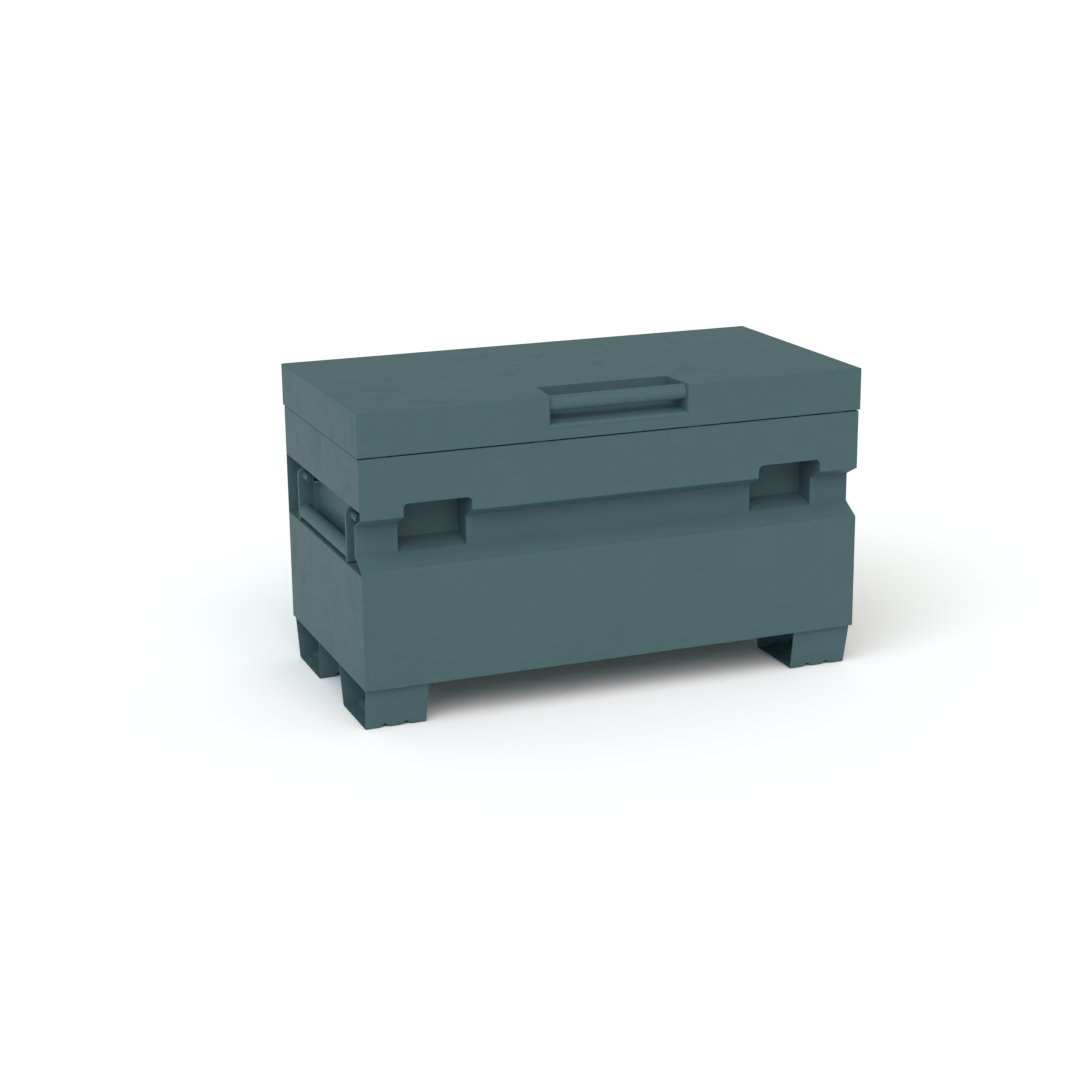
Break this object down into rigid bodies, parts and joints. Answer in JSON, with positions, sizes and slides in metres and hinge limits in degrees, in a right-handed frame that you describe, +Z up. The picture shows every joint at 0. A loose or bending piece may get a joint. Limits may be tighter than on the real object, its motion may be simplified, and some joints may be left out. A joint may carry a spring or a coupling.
{
  "type": "jobsite storage box",
  "caption": "Welded steel jobsite tool chest on fork-lift feet, with a hinged lid on gas struts, a lid grip, recessed padlock pockets and drop-down side handles.",
  "frame": {"origin": "on the floor, under the middle of the box", "axes": "+X to the right along the length, +Y towards the hinge side, +Z up; the front with the lock pockets faces -Y"},
  "size_m": [1.2242, 0.6146, 0.7302],
  "materials": {
    "box_paint": "satin powder coat, dusty teal-grey",
    "zinc_steel": "zinc-plated steel hardware",
    "strut_black": "satin black paint",
    "rod_chrome": "ground and plated rod",
    "bumper_rubber": "moulded rubber"
  },
  "bodies": {
    "chest": {"front_panel": "box_paint", "back_panel": "box_paint", "floor_panel": "box_paint", "left_side_panel": "box_paint", "right_side_panel": "box_paint", "left_lock_pocket": "box_paint", "right_lock_pocket": "box_paint", "lock_staples": "box_paint", "front_left_foot": "box_paint", "front_right_foot": "box_paint", "rear_left_foot": "box_paint", "rear_right_foot": "box_paint", "rim_bumpers": "bumper_rubber", "hinge_body_leaf": "box_paint", "hinge_pin": "zinc_steel", "left_pivot_barrels": "box_paint", "right_pivot_barrels": "box_paint", "left_body_strut_bracket": "box_paint", "right_body_strut_bracket": "box_paint", "body_strut_studs": "zinc_steel"},
    "lid": {"lid_shell": "box_paint", "lid_hand_pocket": "box_paint", "lid_handle_tube": "box_paint", "hinge_lid_leaf": "box_paint", "left_lid_stiffener": "box_paint", "right_lid_stiffener": "box_paint", "lid_hasps": "box_paint", "left_lid_strut_bracket": "box_paint", "right_lid_strut_bracket": "box_paint", "lid_strut_studs": "zinc_steel"},
    "left_handle": {"left_handle_front_arm": "box_paint", "left_handle_rear_arm": "box_paint", "left_handle_grip": "box_paint"},
    "left_strut_cylinder": {"left_strut_cylinder": "strut_black"},
    "left_strut_rod": {"left_strut_rod": "rod_chrome"},
    "right_handle": {"right_handle_front_arm": "box_paint", "right_handle_rear_arm": "box_paint", "right_handle_grip": "box_paint"},
    "right_strut_cylinder": {"right_strut_cylinder": "strut_black"},
    "right_strut_rod": {"right_strut_rod": "rod_chrome"}
  },
  "joints": [
    {"name": "lid_hinge", "type": "hinge", "parent": "chest", "child": "lid", "pos_m": [0, 0.3028, 0.6293], "axis": [-1, 0, 0], "range_deg": [0, 90]},
    {"name": "left_handle_swing", "type": "hinge", "parent": "chest", "child": "left_handle", "pos_m": [-0.59065, 0, 0.4772], "axis": [0, 1, 0], "range_deg": [0, 115]},
    {"name": "right_handle_swing", "type": "hinge", "parent": "chest", "child": "right_handle", "pos_m": [0.59065, 0, 0.4772], "axis": [0, -1, 0], "range_deg": [0, 115]},
    {"name": "left_strut_lower_swing", "type": "hinge", "parent": "chest", "child": "left_strut_cylinder", "pos_m": [-0.5326, 0.18543, 0.40856], "axis": [-1, 0, 0], "range_deg": [0, 45]},
    {"name": "left_strut_upper_swing", "type": "hinge", "parent": "lid", "child": "left_strut_rod", "pos_m": [-0.5326, 0.05523, 0.66409], "axis": [-1, 0, 0], "range_deg": [-45, 0]},
    {"name": "right_strut_lower_swing", "type": "hinge", "parent": "chest", "child": "right_strut_cylinder", "pos_m": [0.5326, 0.18543, 0.40856], "axis": [-1, 0, 0], "range_deg": [0, 45]},
    {"name": "right_strut_upper_swing", "type": "hinge", "parent": "lid", "child": "right_strut_rod", "pos_m": [0.5326, 0.05523, 0.66409], "axis": [-1, 0, 0], "range_deg": [-45, 0]}
  ],
  "couplings": [
    {"joint": "left_strut_lower_swing", "follows": "lid_hinge", "ratio": 0.5},
    {"joint": "left_strut_upper_swing", "follows": "lid_hinge", "ratio": -0.5},
    {"joint": "right_strut_lower_swing", "follows": "lid_hinge", "ratio": 0.5},
    {"joint": "right_strut_upper_swing", "follows": "lid_hinge", "ratio": -0.5}
  ]
}
